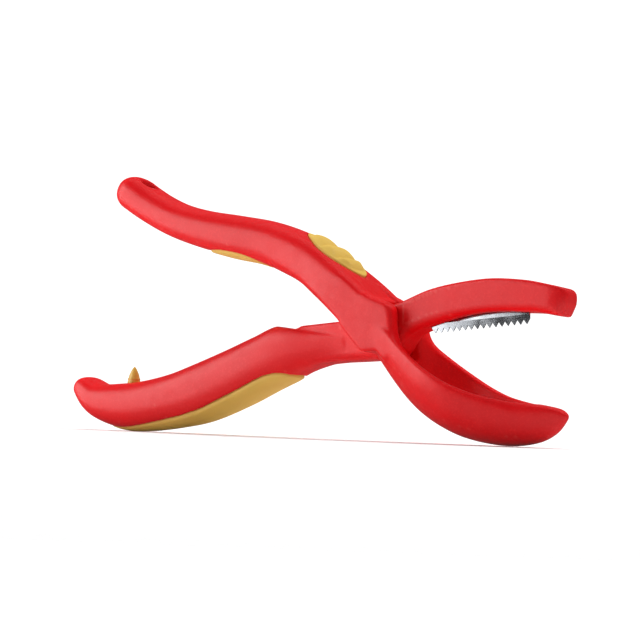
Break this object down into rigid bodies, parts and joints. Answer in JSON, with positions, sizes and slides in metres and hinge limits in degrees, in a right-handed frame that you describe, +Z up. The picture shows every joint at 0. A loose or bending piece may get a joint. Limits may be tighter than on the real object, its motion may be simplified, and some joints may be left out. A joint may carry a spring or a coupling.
{
  "type": "chestnut cutter",
  "caption": "Hand-held nut-scoring pliers with a spoon-shaped scoop jaw, a serrated blade in an arched jaw, soft grips, a shell pick and a hanging hole.",
  "frame": {"origin": "centre of the whole tool's box on X and Y, at the height of the surface that its scoop and lower handle stand on", "axes": "+X from the handles towards the jaws, +Y along the pivot pin towards its head, +Z up from the lower handle to the upper handle"},
  "size_m": [0.1942, 0.0348, 0.0919],
  "materials": {
    "red_plastic": "satin, fine moulded texture",
    "soft_yellow": "matte soft-touch",
    "pick_yellow": "satin",
    "blade_steel": "polished, ground teeth",
    "pin_steel": "turned",
    "spring_steel": "drawn wire",
    "bush_acetal": "matte"
  },
  "bodies": {
    "scoop_half": {"scoop_lever": "red_plastic", "thumb_pad": "soft_yellow", "palm_pad": "soft_yellow", "pivot_pin": "pin_steel"},
    "blade_half": {"blade_lever": "red_plastic", "finger_grip": "soft_yellow", "shell_pick": "pick_yellow", "blade": "blade_steel", "blade_pins": "pin_steel", "pivot_bush": "bush_acetal", "return_spring": "spring_steel"}
  },
  "joints": [
    {"name": "jaw_pivot", "type": "hinge", "parent": "scoop_half", "child": "blade_half", "pos_m": [0.0329, 0, 0.0347], "axis": [0, 1, 0], "range_deg": [0, 24], "stiffness_Nm_per_rad": 0.1, "springref_deg": -25.78, "deforming": ["return_spring"]}
  ]
}
